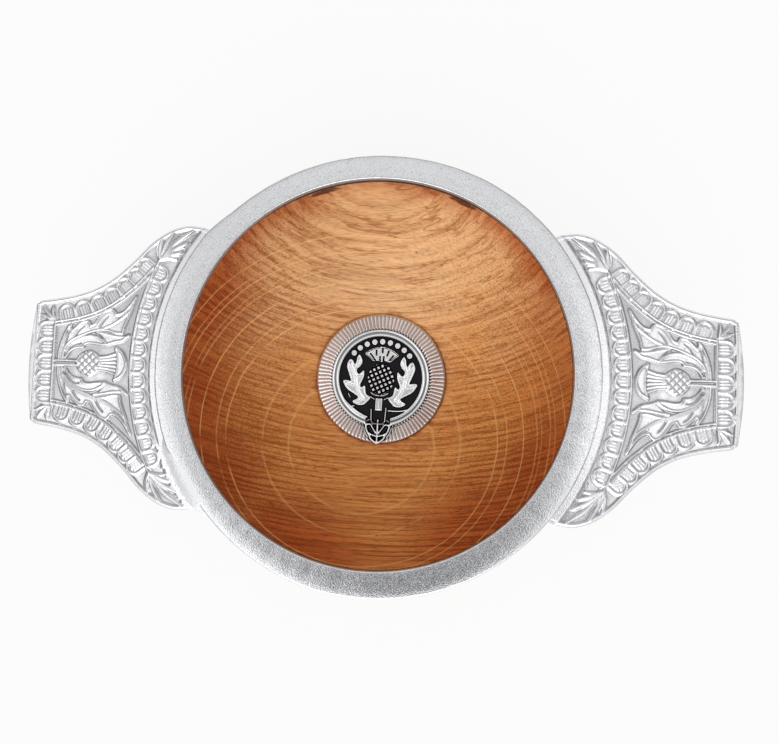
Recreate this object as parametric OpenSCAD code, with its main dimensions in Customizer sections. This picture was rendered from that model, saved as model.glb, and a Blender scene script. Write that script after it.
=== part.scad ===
// Quaich: a shallow two-handled drinking bowl, turned in oak and mounted in cast pewter.
// Lengths are millimetres and angles degrees. The bowl turns about Z, the lugs lie along X,
// and the foot stands on z = 0.

/* [Bowl] */
// Inside diameter of the wood at its lip
opening_d = 99; // [80:0.5:120]
// Height of the wooden lip above the table
lip_z = 39; // [34:0.5:50]
// Depth of the well, from the lip down to its flat floor
well_depth = 27; // [18:0.5:30]
// Diameter of the flat floor of the well
floor_d = 40; // [38:0.5:46]
// Diameter of the turned foot
foot_d = 50; // [40:0.5:60]
// Height of the foot before the side of the bowl springs from it
foot_h = 7; // [4:0.5:8]
// Width of the ring that the foot stands on
foot_ring_w = 5.5; // [3:0.5:8]
// Depth of the hollow turned under the foot
foot_hollow = 2; // [1:0.25:3]
// Height of the cove between the foot and the side of the bowl
cove_h = 2.5; // [1:0.25:4]
// Depth of that cove
cove_d = 1.6; // [0.8:0.1:3]
// Set-back of the wood under the skirt
side_step = 0.6; // [0.2:0.1:1.5]

/* [Rim] */
// Radial width of the pewter rim, seen from above
rim_w = 7; // [6:0.1:10]
// Thickness of the skirt that hangs outside the lip
skirt_t = 2.7; // [2:0.1:3.5]
// Height of the skirt below the lip
skirt_h = 8; // [6:0.25:12]
// Thickness of the rim at its inner edge, on top of the lip
rim_edge_t = 1; // [0.6:0.1:1.6]
// Radius of the rounded top of the rim, in section
rim_crown_r = 6.5; // [5.5:0.1:10]

/* [Lugs] */
// Reach of each lug, from the rim to the middle of its end
lug_reach = 35.5; // [26:0.5:42]
// Thickness of the lug
lug_t = 3.2; // [2.5:0.1:4.5]
// Drop of the lug's top face below the wooden lip
lug_drop = 0.9; // [0.4:0.1:2]
// Width across the outer end of the lug
lug_end_w = 32.5; // [26:0.5:38]
// Bulge of the outer end
lug_end_bulge = 1.8; // [0.8:0.1:2.2]
// Fall of the bevel outside the raised edge of that end
end_bevel = 1.6; // [0.8:0.1:2]
// Radius of the corners of the outer end
corner_r = 2.2; // [1.6:0.1:3]
// Width across the two horns that lie along the rim
horn_w = 74; // [66:0.5:80]

/* [Lug relief] */
// Depth of the sunk ground behind the ornament
relief_h = 0.7; // [0.4:0.05:1]
// Width of the raised edge round the lug
edge_w = 1.3; // [0.8:0.1:2]
// Width of the plain strip beside the rim
strip_w = 2.4; // [1.5:0.1:3]
// Width of the scalloped band along the root
root_band_w = 5; // [4:0.1:6]
// Width of the scalloped bands along the sides and the outer end, edge included
side_band_w = 5.4; // [4.8:0.1:6.5]
// Half angle at which the side frames meet the root frame
root_half = 25.6; // [22:0.2:27]
// Width of the raised lines
line_w = 0.7; // [0.4:0.05:0.9]
// Scallops along the root of the lug
root_scallops = 13; // [9:2:15]
// Scallops along each side
side_scallops = 7; // [5:1:8]
// Scallops along the outer end
end_scallops = 5; // [3:1:6]
// Radius of one scallop's arch
scallop_r = 1.8; // [1.4:0.05:1.9]
// Height of the straight sides of the scallops along the sides and the outer end
scallop_leg = 2.2; // [1:0.1:2.4]
// Height of the straight sides of the scallops along the root
root_leg = 1.4; // [0.8:0.1:1.8]
// Width of the flutes inside the scallops
flute_w = 0.3; // [0.2:0.05:0.4]
// Radius of the thistle's globe
globe_r = 3.3; // [2.6:0.1:3.8]
// Length of the fluted neck between the globe and the crown
neck_l = 3.6; // [2.5:0.1:4.5]
// Length of the stem
stem_l = 5.4; // [4:0.1:6.5]
// Width of the tuft at the head of the thistle
crown_w = 8.6; // [6:0.1:9]
// Width of the reeds in the stem and the neck
reed_w = 0.6; // [0.4:0.05:0.7]
// Half width of the long leaves
leaf_w = 1.8; // [1:0.05:2]

/* [Roundel] */
// Diameter of the reeded roundel in the floor
roundel_d = 37.2; // [34:0.2:37.6]
// Thickness of the roundel under its reeds
roundel_t = 1.3; // [0.8:0.1:2]
// Height of the reeds
reed_h = 0.35; // [0.2:0.05:0.6]
// Number of reeds
reeds = 100; // [60:2:120]
// Depth of the seat turned for the roundel
seat_depth = 1; // [0.6:0.1:1.6]
// Diameter of the peg that holds the roundel
peg_d = 4; // [3:0.25:6]
// Length of that peg
peg_l = 4; // [2:0.5:5]

/* [Badge] */
// Outside diameter of the strap
strap_d = 28; // [25:0.2:29]
// Width of the strap
strap_w = 2.05; // [1.4:0.05:3]
// Thickness of the badge's ground
badge_t = 0.9; // [0.6:0.05:1.5]
// Height of the strap above the ground
strap_h = 1; // [0.6:0.05:1.4]
// Reach of the strap's tail below the badge's middle
tail_reach = 18.9; // [16.5:0.1:19.5]
// Width of that tail
tail_w = 7; // [5:0.2:8]
// Width of the bars of the buckle and of the tail's border
bar_w = 0.7; // [0.5:0.05:1]
// Radius of the globe of the badge's thistle
badge_globe_r = 3.9; // [3.4:0.1:4.1]
// Pellets on each side of the top one, in the arc above the thistle
pellets = 4; // [0:1:4]
// Radius of one pellet
pellet_r = 0.62; // [0.4:0.02:0.8]
// Turn of the badge as it was set
badge_turn = -1.5; // [-5:0.5:5]
// Diameter of the two pins behind the badge
pin_d = 1.6; // [1.2:0.1:2]
// Distance between the pins
pin_gap = 14; // [10:0.5:18]

/* [Fits] */
// Thickness of the bedding under the rim and the roundel
bed_t = 0.25; // [0.1:0.05:0.5]
// Set-back of the bedding from the visible edges
bed_inset = 0.3; // [0.1:0.05:0.6]
// Space between the skirt and the wood
rim_fit = 0.15; // [0.05:0.05:0.4]
// Space round the roundel in its seat
roundel_fit = 0.15; // [0.05:0.05:0.4]
// Space round the pegs and pins in their holes
pin_fit = 0.1; // [0.05:0.05:0.25]
// Leg of the solder fillet under each lug
solder_leg = 1.4; // [0.8:0.1:2.2]
// Thickness of the enamel in the badge's ground
enamel_t = 0.3; // [0.15:0.05:0.5]

/* [Hidden] */
$fn = 96;
far = 400;
oak = [0.76, 0.50, 0.28];
pewter = [0.78, 0.79, 0.80];
bedding = [0.16, 0.13, 0.11];
solder = [0.70, 0.71, 0.73];
enamel = [0.05, 0.05, 0.06];
opening_r = opening_d / 2;
floor_r = floor_d / 2;
floor_z = lip_z - well_depth;
rim_r = opening_r + rim_w;
skirt_r = rim_r - skirt_t;
lip_r = skirt_r - rim_fit;
skirt_z = lip_z - skirt_h;
// Sphere of the well, through the lip and the edge of the floor
well_c = (opening_r^2 - floor_r^2 + lip_z^2 - floor_z^2) / (2 * (lip_z - floor_z));
well_r = sqrt(opening_r^2 + (lip_z - well_c)^2);
// Sphere of the outside, through the foot of the skirt and the top of the foot
side_r = rim_r - side_step;
foot_r = foot_d / 2;
neck_r = foot_r - cove_d;
out_c = (side_r^2 - neck_r^2 + skirt_z^2 - foot_h^2) / (2 * (skirt_z - foot_h));
out_r = sqrt(side_r^2 + (skirt_z - out_c)^2);
// Rim section
rim_low = lip_z + bed_t;
crown_c = opening_r + 0.45 * rim_w;
crown_z = rim_low + rim_edge_t - sqrt(rim_crown_r^2 - (crown_c - opening_r)^2);
// Lug outline
lug_z = lip_z - lug_drop;
end_x = rim_r + lug_reach - lug_end_bulge;
end_y = lug_end_w / 2;
horn_y = 0.97 * horn_w / 2;
horn = [sqrt((rim_r + 0.3)^2 - horn_y^2), horn_y];
turn = horn + [14, -2.6];
side_len = end_x - rim_r;
// Lug bands and the inner frame
strip_r = rim_r + strip_w;
frame_r = strip_r + root_band_w;
frame_x = end_x - side_band_w;
frame_y = end_y - side_band_w;
knot = frame_r * [cos(root_half), sin(root_half)];
root_step = 2 * (root_half - 0.4) / root_scallops;
globe_x = frame_x - 0.9 - stem_l - globe_r;
crown_x = globe_x - globe_r - neck_l;
sunk_z = lug_z - relief_h;
root_z = sunk_z - 0.2;
// Roundel and badge heights
seat_z = floor_z - seat_depth;
roundel_z = seat_z + bed_t;
reed_z = roundel_z + roundel_t;
badge_z = reed_z + reed_h;
ground_z = badge_z + badge_t;
strap_r = strap_d / 2;
strap_in = strap_r - strap_w;
reed_in = strap_r + 0.3;
roundel_r = roundel_d / 2;

// Point on a cubic curve
function cubic(p, t) = (1 - t)^3 * p[0] + 3 * (1 - t)^2 * t * p[1] + 3 * (1 - t) * t^2 * p[2] + t^3 * p[3];
// Unit vector to the left of a curve's direction
function left(p, t) = let (d = cubic(p, t + 0.002) - cubic(p, t - 0.002)) [-d[1], d[0]] / norm(d);
// Curve shifted to its left by d
function beside(p, t, d) = cubic(p, t) + d * left(p, t);
// Points along a curve from a to b
function along(p, a, b, n, d = 0) = [for (i = [0:n]) beside(p, a + (b - a) * i / n, d)];
function flipped(pts) = [for (i = [len(pts) - 1:-1:0]) [pts[i][0], -pts[i][1]]];
// Upper side of the lug, first the hollow part from the end, then the swelling into the horn
hollow = [[end_x, end_y], [end_x, end_y] + side_len * [-0.46, 0.024],
  turn + side_len * [0.248, -0.276], turn];
swell = [turn, turn + side_len * [-0.089, 0.098], horn + [6.2, 1.4], horn + [2, 0.9]];
// Inner frame along the side, from the outer end to its knot with the root frame
side_frame = [[frame_x, frame_y], [frame_x - 10.5, frame_y + 1.3], knot + [8.6, -10.4], knot];
// Outer end between the corners, bulged by b and set in by d
function end_arc(d, b) =
  let (w = end_y - corner_r, n = 12)
  [for (i = [-n:n]) [end_x - d + b * (1 - (i / n)^2), w * i / n]];
// Rounded corner of the outer end, set in by d
function corner(d) =
  [for (a = [15:15:75]) [end_x - corner_r, end_y - corner_r] + (corner_r - d) * [cos(a), sin(a)]];
// Upper side of the outline, set in by d
function upper(d) = concat(corner(d), along(hollow, 0.055, 1, 22, d), along(swell, 0.1, 1, 10, d));
function outline(d, b) =
  concat(end_arc(d, b), upper(d), [horn + [0.1, -d], [horn[0] - 8, horn[1] - 6]],
    [[horn[0] - 8, 6 - horn[1]], [horn[0] + 0.1, d - horn[1]]], flipped(upper(d)));

// Lens with its point at the origin, lying along +X
module lens(l, w) {
  r = (l^2 + w^2) / (4 * w);
  translate([l / 2, 0])
  intersection() {
    translate([0, w / 2 - r]) circle(r);
    translate([0, r - w / 2]) circle(r);
  }
}

// Raised line along part of a curve
module curve_line(p, a, b, d, w) {
  n = 18;
  polygon(concat(along(p, a, b, n, d - w / 2), along(p, b, a, n, d + w / 2)));
}

// Arch of radius r on straight legs, seen in plan and open at the X axis
function arch_path(r, leg) =
  concat([[r, -0.1]], [for (a = [0:18:180]) [r * cos(a), leg + r * sin(a)]], [[-r, -0.1]]);

// Raised outline of one scallop
module arch(leg) {
  in = arch_path(scallop_r - 0.75 * line_w, leg);
  polygon(concat(arch_path(scallop_r, leg), [for (i = [len(in) - 1:-1:0]) in[i]]));
}

// Flutes inside one scallop, the middle one longest
module flutes(leg) {
  for (k = [-1:1]) {
    translate([0.4 * scallop_r * k - flute_w / 2, -0.1])
      square([flute_w, leg + scallop_r * (0.42 - 0.2 * abs(k))]);
  }
}

// Places its children at each scallop of the root, standing on the inner frame
module root_places() {
  for (i = [0:root_scallops - 1]) {
    rotate(root_step * (i - (root_scallops - 1) / 2)) translate([frame_r, 0]) rotate(90) children();
  }
}

// Places its children at each scallop of the sides and the outer end
module side_places() {
  for (s = [0, 1]) {
    mirror([0, s])
    for (i = [0:side_scallops - 1]) {
      t = 0.085 + 0.83 * (i + 0.5) / side_scallops;
      n = left(side_frame, t);
      translate(cubic(side_frame, t)) rotate(atan2(-n[1], -n[0]) - 90) children();
    }
  }
  for (i = [0:end_scallops - 1]) {
    y = (i - (end_scallops - 1) / 2) * 2 * frame_y / end_scallops;
    translate([frame_x, y]) rotate(-90) children();
  }
}

// Inner frame: the root arc, the two sides and the end, meeting at the corners
module frame_lines() {
  reach = 2 * frame_r;
  intersection() {
    difference() {
      circle(frame_r + line_w / 2);
      circle(frame_r - line_w / 2);
    }
    polygon([[0, 0], reach * [cos(root_half), -sin(root_half)], reach * [cos(root_half), sin(root_half)]]);
  }
  for (s = [0, 1]) {
    mirror([0, s]) curve_line(side_frame, 0, 1.04, 0, line_w);
  }
  translate([frame_x - line_w / 2, -frame_y]) square([line_w, 2 * frame_y]);
}

// Sprays of leaflets in the horns and small ones in the outer corners
module sprays() {
  for (s = [0, 1]) {
    mirror([0, s]) {
      for (k = [0:5]) {
        translate(knot + [-0.4, 0.5]) rotate(88 + 18.5 * k) lens(4.6 + 5.2 * sin(36 * k), 1.3);
      }
      for (k = [-1:1]) {
        translate([frame_x + 0.5, frame_y + 0.5]) rotate(48 + 36 * k) lens(3.6 - 0.7 * abs(k), 1);
      }
    }
  }
}

// Long cut leaf along a curve, its edge drawn into lobes that point to its tip, with a sunk midrib
module cut_leaf(p, w, lobes) {
  n = 40;
  function edge(t) = w * sin(180 * t^0.75)^0.6 * (0.55 + 0.45 * (lobes * t - floor(lobes * t)));
  difference() {
    polygon(concat([for (i = [0:n]) beside(p, i / n, edge(min(i / n, 0.999)))],
      [for (i = [n - 1:-1:1]) beside(p, i / n, -edge(i / n))]));
    curve_line(p, 0.15, 0.85, 0, 0.3);
  }
}

// Leaves of the thistle on one side: the tallest follows the side frame, the others fan below it
module lug_leaves() {
  heel = [frame_x - 1.2, 2];
  outer = [heel, heel + [0.2, 7], [globe_x, frame_y - 2.2], knot + [5.2, -8]];
  middle = [heel + [-1.2, 1.4], heel + [-3.2, 4.6], [globe_x - 2.5, 8], [frame_r + 0.8, 12.6]];
  inner = [heel + [-1.6, 0.4], heel + [-5, 3.8], [globe_x - 3.5, 6.4], [frame_r + 1.4, 6.4]];
  cut_leaf(outer, leaf_w, 4.5);
  cut_leaf(middle, 0.8 * leaf_w, 3.5);
  cut_leaf(inner, 0.62 * leaf_w, 3.5);
}

// Stem, neck and tuft of the thistle, lying along the lug with the stem outward
module lug_thistle() {
  for (s = [-1, 1]) {
    translate([globe_x + globe_r - 0.4, 0.75 * s - reed_w / 2]) square([stem_l + 0.4, reed_w]);
  }
  for (k = [-2:2]) {
    translate([globe_x - 0.75 * globe_r, 0.62 * k]) rotate(180 - 5.5 * k)
      translate([0, -reed_w / 2]) square([neck_l + 0.25 * globe_r + 0.6, reed_w]);
  }
  intersection() {
    difference() {
      translate([crown_x + 0.15 * crown_w, 0]) circle(crown_w / 2);
      translate([crown_x + 0.5 * crown_w, 0]) circle(0.55 * crown_w);
    }
    translate([crown_x - crown_w, -crown_w / 2]) square([crown_w + 0.6, crown_w]);
  }
}

// Globe of the thistle, domed and cut into lozenges
module lug_globe() {
  dome_h = 0.9 * relief_h;
  dome_r = (globe_r^2 + dome_h^2) / (2 * dome_h);
  pitch = 0.42 * globe_r;
  translate([globe_x, 0, sunk_z])
  difference() {
    intersection() {
      translate([0, 0, dome_h - dome_r]) sphere(dome_r);
      translate([0, 0, -0.2]) cylinder(h = relief_h + 1, r = 0.97 * globe_r);
    }
    for (a = [-42, 42]) {
      for (k = [-2:2]) {
        rotate(a) translate([-globe_r, pitch * k - 0.17, 0.15]) cube([2 * globe_r, 0.34, 1]);
      }
    }
  }
}

// Space above the flat bevel of the outer end, which is widest in the middle
module bevel_space() {
  translate([end_x - 0.1, 0, lug_z])
  rotate([0, atan2(end_bevel, lug_end_bulge + 0.1), 0])
  translate([0, -lug_end_w, 0])
  cube([lug_reach, 2 * lug_end_w, lug_t]);
}

// One lug, lying along +X
module lug() {
  difference() {
    translate([0, 0, lug_z - lug_t]) linear_extrude(lug_t) polygon(outline(0, lug_end_bulge));
    translate([0, 0, lug_z - 2 * lug_t]) cylinder(h = 3 * lug_t, r = rim_r);
    bevel_space();
    translate([0, 0, sunk_z])
    linear_extrude(lug_t)
    difference() {
      polygon(outline(edge_w, 0));
      circle(strip_r);
    }
  }
  translate([0, 0, root_z])
  linear_extrude(sunk_z - root_z + 0.85 * relief_h) {
    frame_lines();
    root_places() arch(root_leg);
    side_places() arch(scallop_leg);
  }
  translate([0, 0, root_z])
  linear_extrude(sunk_z - root_z + 0.6 * relief_h) {
    root_places() flutes(root_leg);
    side_places() flutes(scallop_leg);
  }
  translate([0, 0, root_z]) linear_extrude(sunk_z - root_z + 0.7 * relief_h) sprays();
  translate([0, 0, root_z])
  linear_extrude(sunk_z - root_z + 0.75 * relief_h) {
    lug_thistle();
    lug_leaves();
    mirror([0, 1]) lug_leaves();
  }
  lug_globe();
}

module lug_right() {
  color(pewter) lug();
}

module lug_left() {
  color(pewter) mirror([1, 0, 0]) lug();
}

// Fillets of solder under the roots of the lugs, against the skirt
module lug_solder() {
  half = asin(horn_y / rim_r) - 5;
  z = lug_z - lug_t;
  color(solder)
  for (s = [0, 180]) {
    rotate(s - half)
    rotate_extrude(angle = 2 * half)
    polygon([[rim_r, z], [rim_r + solder_leg, z], [rim_r + 0.3 * solder_leg, z - 0.3 * solder_leg],
      [rim_r, z - solder_leg]]);
  }
}

// Bowl: a solid of revolution with a stepped lip, a seat in the floor and a hollow foot
module bowl() {
  color(oak)
  difference() {
    union() {
      intersection() {
        translate([0, 0, out_c]) sphere(out_r);
        translate([0, 0, foot_h - 1]) cylinder(h = skirt_z - foot_h + 1, r = far);
      }
      translate([0, 0, skirt_z - 1]) cylinder(h = skirt_h + 1, r = lip_r);
      cylinder(h = foot_h - cove_h, r = foot_r);
      translate([0, 0, foot_h - cove_h]) cylinder(h = cove_h, r1 = foot_r, r2 = neck_r);
    }
    intersection() {
      translate([0, 0, well_c]) sphere(well_r);
      translate([0, 0, floor_z]) cylinder(h = well_depth + 1, r = far);
    }
    translate([0, 0, seat_z]) cylinder(h = seat_depth + 1, r = roundel_r + roundel_fit);
    translate([0, 0, roundel_z - peg_l - pin_fit]) cylinder(h = peg_l + 1, r = peg_d / 2 + pin_fit);
    translate([0, 0, -1]) cylinder(h = foot_hollow + 1, r = foot_r - foot_ring_w);
  }
}

// Bedding between the lip and the rim, set back a little from the edge of the wood
module rim_bedding() {
  color(bedding)
  translate([0, 0, lip_z])
  difference() {
    cylinder(h = bed_t, r = lip_r - bed_inset);
    translate([0, 0, -1]) cylinder(h = bed_t + 2, r = opening_r + bed_inset);
  }
}

// Rim: an angle section with a rounded top, its flange on the lip and its skirt outside it
module rim() {
  color(pewter)
  rotate_extrude() {
    intersection() {
      translate([opening_r, rim_low]) square([rim_w, 3 * rim_edge_t + 3]);
      translate([crown_c, crown_z]) circle(rim_crown_r);
    }
    translate([skirt_r, skirt_z + 0.2]) square([skirt_t, skirt_h + bed_t]);
  }
}

// Bedding under the roundel, with room for its peg
module roundel_bedding() {
  color(bedding)
  translate([0, 0, seat_z])
  difference() {
    cylinder(h = bed_t, r = roundel_r - bed_inset);
    translate([0, 0, -1]) cylinder(h = bed_t + 2, r = peg_d / 2 + pin_fit);
  }
}

// Plan of the roundel's raised face: a round table with reeds all round it
module reeded() {
  step = 360 / reeds;
  polygon([for (i = [0:reeds - 1]) each [
    reed_in * [cos(step * (i - 0.5)), sin(step * (i - 0.5))],
    reed_in * [cos(step * (i - 0.3)), sin(step * (i - 0.3))],
    (roundel_r - 0.15) * [cos(step * (i - 0.22)), sin(step * (i - 0.22))],
    (roundel_r - 0.15) * [cos(step * (i + 0.22)), sin(step * (i + 0.22))],
    reed_in * [cos(step * (i + 0.3)), sin(step * (i + 0.3))]]]);
}

module roundel() {
  color(pewter)
  difference() {
    union() {
      translate([0, 0, roundel_z]) cylinder(h = roundel_t, r = roundel_r);
      translate([0, 0, reed_z - 0.2]) linear_extrude(reed_h + 0.2) reeded();
      translate([0, 0, roundel_z - peg_l]) cylinder(h = peg_l + 0.2, r = peg_d / 2);
    }
    rotate(badge_turn)
    for (s = [-1, 1]) {
      translate([s * pin_gap / 2, 0, roundel_z - 1])
        cylinder(h = roundel_t + reed_h + 2, r = pin_d / 2 + pin_fit);
    }
  }
}

// Plan of the strap's hanging tail, a pointed tab, set in by d
module tail_plan(d) {
  w = tail_w / 2 - d;
  polygon([[-w, 0.6 - strap_in], [-w - 0.3, -strap_r], [-w, 4 - tail_reach], [-0.4 * w, 1 + d - tail_reach],
    [0, 1.4 * d - tail_reach], [0.4 * w, 1 + d - tail_reach], [w, 4 - tail_reach], [w + 0.3, -strap_r],
    [w, 0.6 - strap_in]]);
}

// Plan of one lobe of a leaf, between two points
module lobe(a, b, w) {
  translate(a) rotate(atan2(b[1] - a[1], b[0] - a[0])) lens(norm(b - a), w);
}

// Plan of the leaf on the left of the badge's thistle
module badge_leaf() {
  lobe([-2.2, -6.3], [-8.1, -7.1], 2);
  lobe([-1.4, -6], [-10.4, -1.3], 2.8);
  lobe([-3.6, -5.6], [-9.2, 4.9], 3.1);
  lobe([-7.6, -0.4], [-6.1, 6.3], 2);
  lobe([-6.8, -3], [-4.8, 1.9], 1.6);
  lobe([-4.9, -5.6], [-4.2, -2.5], 1.4);
}

// Plan of all that stands up from the badge's ground inside the strap
module badge_device() {
  difference() {
    circle(badge_globe_r);
    for (a = [-40, 40]) {
      for (k = [-2:2]) {
        rotate(a) translate([-5, 0.36 * badge_globe_r * k - 0.22]) square([10, 0.44]);
      }
    }
  }
  intersection() {
    translate([0, badge_globe_r - 0.4]) circle(5.2);
    polygon([[-1.8, badge_globe_r + 0.5], [-5.2, badge_globe_r + 3.8], [0, badge_globe_r + 8],
      [5.2, badge_globe_r + 3.8], [1.8, badge_globe_r + 0.5]]);
  }
  translate([-1.25, 2.6 - strap_in]) square([2.5, strap_in - 2.6 - badge_globe_r - 0.7]);
  for (k = [-pellets:pellets]) {
    rotate(90 + 12 * k) translate([strap_in - 1.5, 0]) circle(pellet_r);
  }
  badge_leaf();
  mirror([1, 0]) badge_leaf();
}

// Badge: a strap-and-buckle ring round a thistle, with two pins behind
module badge() {
  color(pewter)
  rotate(badge_turn) {
    translate([0, 0, badge_z])
    linear_extrude(badge_t) {
      circle(strap_r);
      tail_plan(0);
    }
    translate([0, 0, ground_z - 0.2])
    linear_extrude(strap_h + 0.2)
    difference() {
      circle(strap_r);
      circle(strap_in);
      translate([-tail_w / 2, -strap_r - 1]) square([tail_w, strap_w + 2]);
    }
    translate([0, 0, ground_z - 0.2]) linear_extrude(strap_h + 0.2) badge_device();
    translate([0, 0, ground_z - 0.2])
    linear_extrude(0.8 * strap_h + 0.2) {
      for (s = [-1, 1]) {
        translate([2.05 * s - bar_w / 2, 0.4 - strap_r]) square([bar_w, 5]);
      }
      translate([-2.4, 0.4 - strap_r]) square([4.8, bar_w]);
      difference() {
        tail_plan(0);
        tail_plan(bar_w);
        translate([-tail_w, -strap_r]) square([2 * tail_w, strap_r]);
      }
      translate([-bar_w / 2, 0.8 - tail_reach]) square([bar_w, tail_reach - strap_r]);
    }
    for (s = [-1, 1]) {
      translate([s * pin_gap / 2, 0, roundel_z]) cylinder(h = badge_z - roundel_z + 0.2, r = pin_d / 2);
    }
  }
}

// Black enamel that fills the ground inside the strap
module badge_enamel() {
  color(enamel)
  rotate(badge_turn)
  translate([0, 0, ground_z])
  linear_extrude(enamel_t)
  difference() {
    circle(strap_in - 0.02);
    badge_device();
    translate([-tail_w / 2, -strap_r - 1]) square([tail_w, strap_w + 5]);
  }
}

bowl();
rim_bedding();
rim();
lug_left();
lug_right();
lug_solder();
roundel_bedding();
roundel();
badge();
badge_enamel();
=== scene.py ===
import math
import bmesh
import bpy
import numpy as np
from mathutils import Matrix, Vector, noise


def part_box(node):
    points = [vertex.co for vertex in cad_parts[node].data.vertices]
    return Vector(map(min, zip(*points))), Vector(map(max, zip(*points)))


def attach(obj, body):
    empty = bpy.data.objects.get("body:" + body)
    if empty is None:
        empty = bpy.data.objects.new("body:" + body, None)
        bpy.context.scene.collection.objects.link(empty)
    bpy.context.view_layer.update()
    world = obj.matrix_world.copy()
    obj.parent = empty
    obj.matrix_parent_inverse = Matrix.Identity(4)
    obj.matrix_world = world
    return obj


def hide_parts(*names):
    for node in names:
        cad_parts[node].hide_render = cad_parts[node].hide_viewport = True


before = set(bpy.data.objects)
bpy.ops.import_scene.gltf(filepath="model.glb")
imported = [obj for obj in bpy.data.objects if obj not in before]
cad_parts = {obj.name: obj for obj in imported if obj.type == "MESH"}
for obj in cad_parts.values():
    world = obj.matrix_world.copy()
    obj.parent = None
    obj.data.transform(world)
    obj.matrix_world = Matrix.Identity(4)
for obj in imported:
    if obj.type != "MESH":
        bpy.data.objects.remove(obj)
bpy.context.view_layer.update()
toMm = 1000.0  # the frame is in metres, this script works in millimetres


def nodeBox(name):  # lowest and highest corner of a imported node, in mm
    low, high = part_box(name)
    return np.array(low) * toMm, np.array(high) * toMm


rimLow, rimHigh = nodeBox("rim")
lugLow, lugHigh = nodeBox("lug_right")
roundelLow, roundelHigh = nodeBox("roundel")
enamelLow, enamelHigh = nodeBox("badge_enamel")
hairline = 0.002  # mm, keeps the outermost points inside the frame's box
rimR = rimHigh[0] - hairline
lugTip = lugHigh[0] - hairline
lugTop, lugUnder = lugHigh[2], lugLow[2]
lipZ = nodeBox("bowl")[1][2]
badgeTop = nodeBox("badge")[1][2]


# numbers and curves


def ease(a, b, x):  # smooth step from 0 at a to 1 at b
    t = np.clip((x - a) / (b - a), 0.0, 1.0)
    return t * t * (3.0 - 2.0 * t)


def polar(radius, degrees):
    angle = np.radians(degrees)
    return np.stack([radius * np.cos(angle), radius * np.sin(angle)], -1)


def curveThrough(points, steps=6):  # smooth line through a few points
    p = np.array(points, float)
    p = np.vstack([2 * p[0] - p[1], p, 2 * p[-1] - p[-2]])
    t = np.linspace(0, 1, steps, endpoint=False)[:, None]
    line = []
    for a, b, c, d in zip(p, p[1:], p[2:], p[3:]):
        bend = 2 * a - 5 * b + 4 * c - d
        line.append(0.5 * (2 * b + (c - a) * t + bend * t**2 + (3 * b - a - 3 * c + d) * t**3))
    return np.vstack(line + [p[-2:-1]])


def closedThrough(points, steps=4):
    around = list(points[-2:]) + list(points) + list(points[:2])
    return curveThrough(around, steps)[2 * steps : -2 * steps]


def spaced(line, shares):  # points at given shares of a line's length
    way = np.concatenate([[0], np.cumsum(np.hypot(*np.diff(line, axis=0).T))])
    way /= way[-1]
    return np.stack([np.interp(shares, way, line[:, 0]), np.interp(shares, way, line[:, 1])], -1)


def leftOf(line):  # unit vectors to the left of a line
    d = np.gradient(line, axis=0)
    return np.stack([-d[:, 1], d[:, 0]], -1) / np.hypot(d[:, 0], d[:, 1])[:, None]


def arcPoints(centre, radius, start, end, steps):
    return [tuple(np.array(centre) + polar(radius, a)) for a in np.linspace(start, end, steps)]


def blurred(field, size):  # soft copy of a grid of numbers
    reach = int(3 * size) + 1
    kernel = np.exp(-0.5 * (np.arange(-reach, reach + 1) / size) ** 2)
    kernel /= kernel.sum()
    soft = np.pad(field, reach, mode="edge")
    soft = np.apply_along_axis(np.convolve, 0, soft, kernel, "valid")
    return np.apply_along_axis(np.convolve, 1, soft, kernel, "valid")


# carving in low relief


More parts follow.
